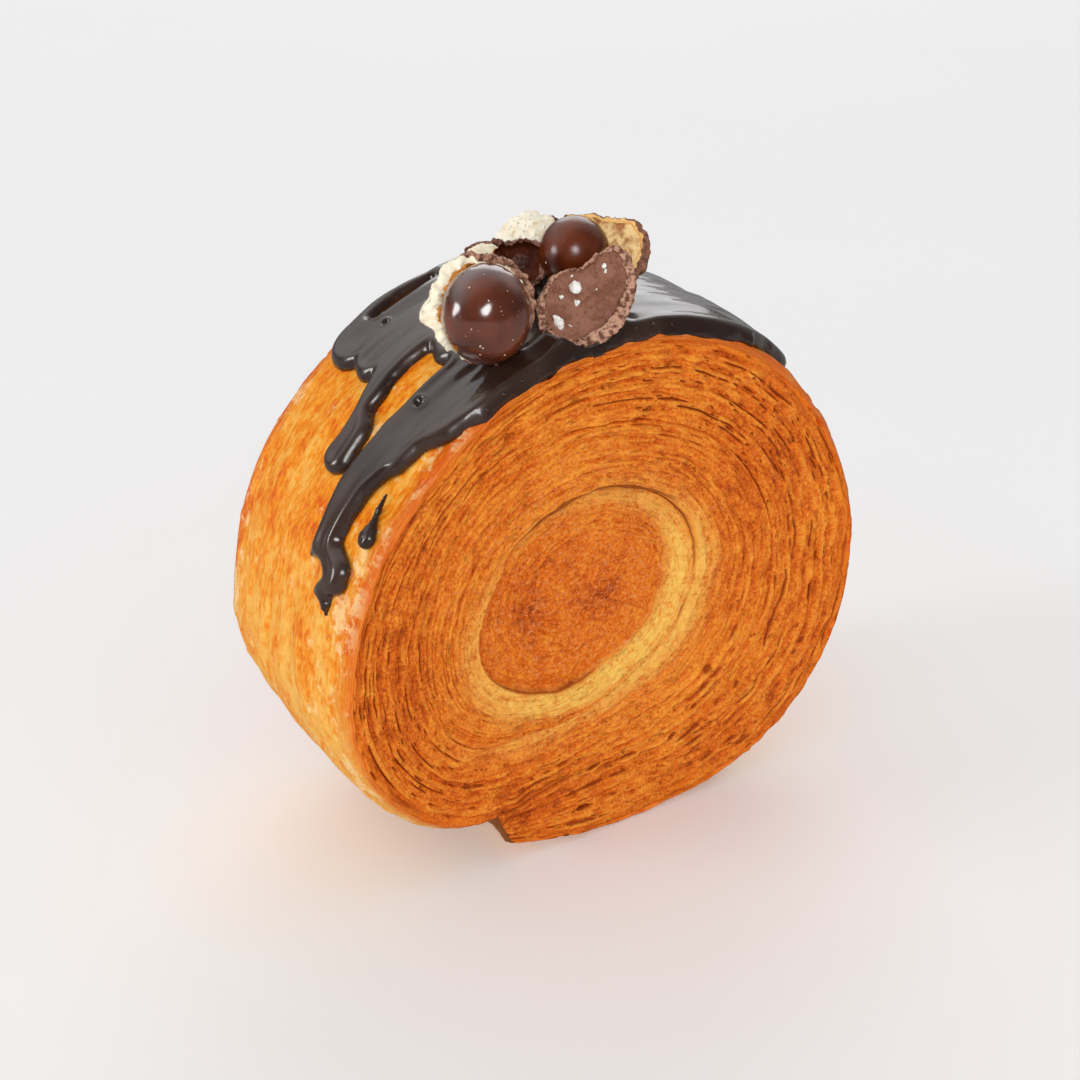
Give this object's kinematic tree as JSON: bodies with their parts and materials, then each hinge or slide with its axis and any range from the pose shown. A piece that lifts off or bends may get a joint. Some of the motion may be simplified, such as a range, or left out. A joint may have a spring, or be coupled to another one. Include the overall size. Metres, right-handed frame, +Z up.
{
  "type": "chocolate hazelnut cromboloni",
  "caption": "round laminated pastry roll standing on its rim, coiled flaky faces, dark chocolate glaze run over the top and broken chocolate wafer balls on it",
  "frame": {"origin": "on the resting surface, below the axis of the roll and midway between its two faces", "axes": "X to the right across the coiled front face, Y from the front face to the back face, Z up"},
  "size_m": [0.1049, 0.0474, 0.1076],
  "materials": {
    "baked_crust": "golden to deep brown egg-washed laminated dough, satin on the rim, matt and porous on the coiled faces",
    "dark_glaze": "set dark chocolate glaze, glossy",
    "glossy_chocolate": "polished red-brown chocolate coat",
    "matte_chocolate": "dull milk-brown chocolate with rough broken edges",
    "pale_wafer": "dry crumbly cream-coloured wafer"
  },
  "bodies": {
    "root": {"roll": "baked_crust", "chocolate_glaze": "dark_glaze", "glaze_droplet": "dark_glaze", "front_ball": "glossy_chocolate", "half_shell": "matte_chocolate", "back_ball": "glossy_chocolate", "shell_shard": "matte_chocolate", "wafer_chunk": "pale_wafer"}
  },
  "joints": []
}
